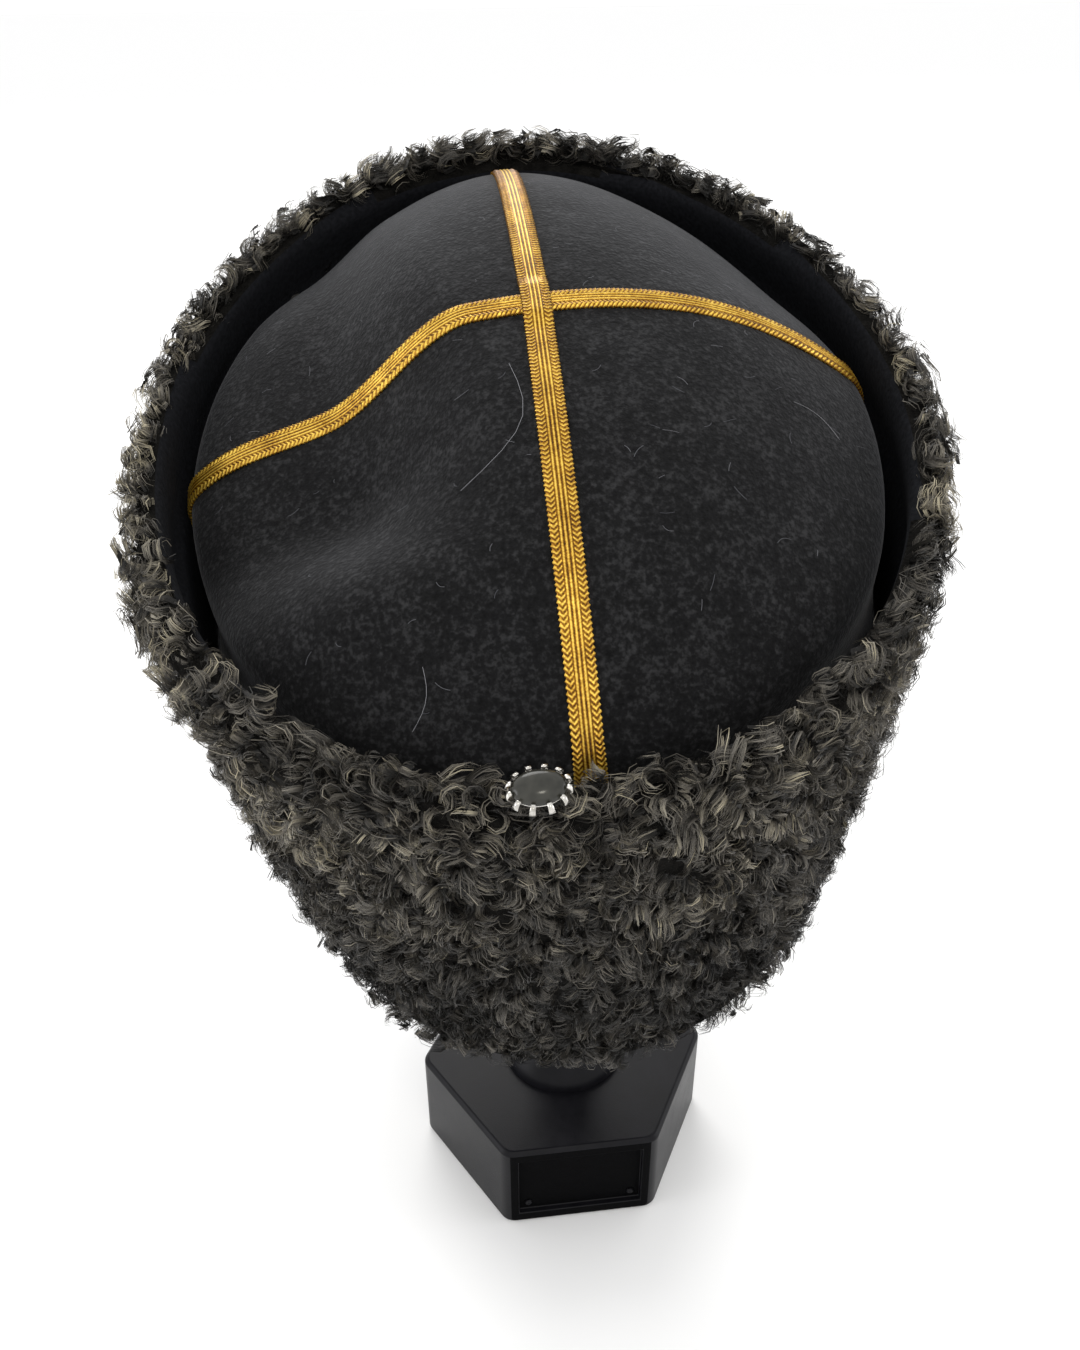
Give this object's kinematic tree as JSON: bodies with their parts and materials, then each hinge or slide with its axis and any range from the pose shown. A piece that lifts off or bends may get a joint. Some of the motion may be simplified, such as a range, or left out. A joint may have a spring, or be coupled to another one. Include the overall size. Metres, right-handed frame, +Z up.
{
  "type": "karakul hat on a stand",
  "caption": "Tall curly-fur hat with a soft cloth crown crossed by two metallic braids and an oval stud, leaning back on a plain hexagonal stand.",
  "frame": {"origin": "centre of the flat underside of the stand's hexagonal base", "axes": "+Z up, +Y towards the hat's narrow front, +X to the right seen from behind the hat; the hat leans back towards -Y"},
  "size_m": [0.2203, 0.2793, 0.4073],
  "materials": {
    "karakul_fur": "tight dark curls with light grey and cream tips",
    "felt_cloth": "fulled melange wool with a soft nap",
    "gold_braid": "woven metallic thread, ribbed lengthwise",
    "stud_metal": "bright plated tin",
    "stud_cap": "smooth grey dome",
    "stand_plastic": "satin black"
  },
  "bodies": {
    "root": {"fur_band": "karakul_fur", "crown_cap": "felt_cloth", "braid_cross": "gold_braid", "braid_long": "gold_braid", "stud_setting": "stud_metal", "stud_dome": "stud_cap", "stand_base": "stand_plastic", "stand_post": "stand_plastic"}
  },
  "joints": []
}
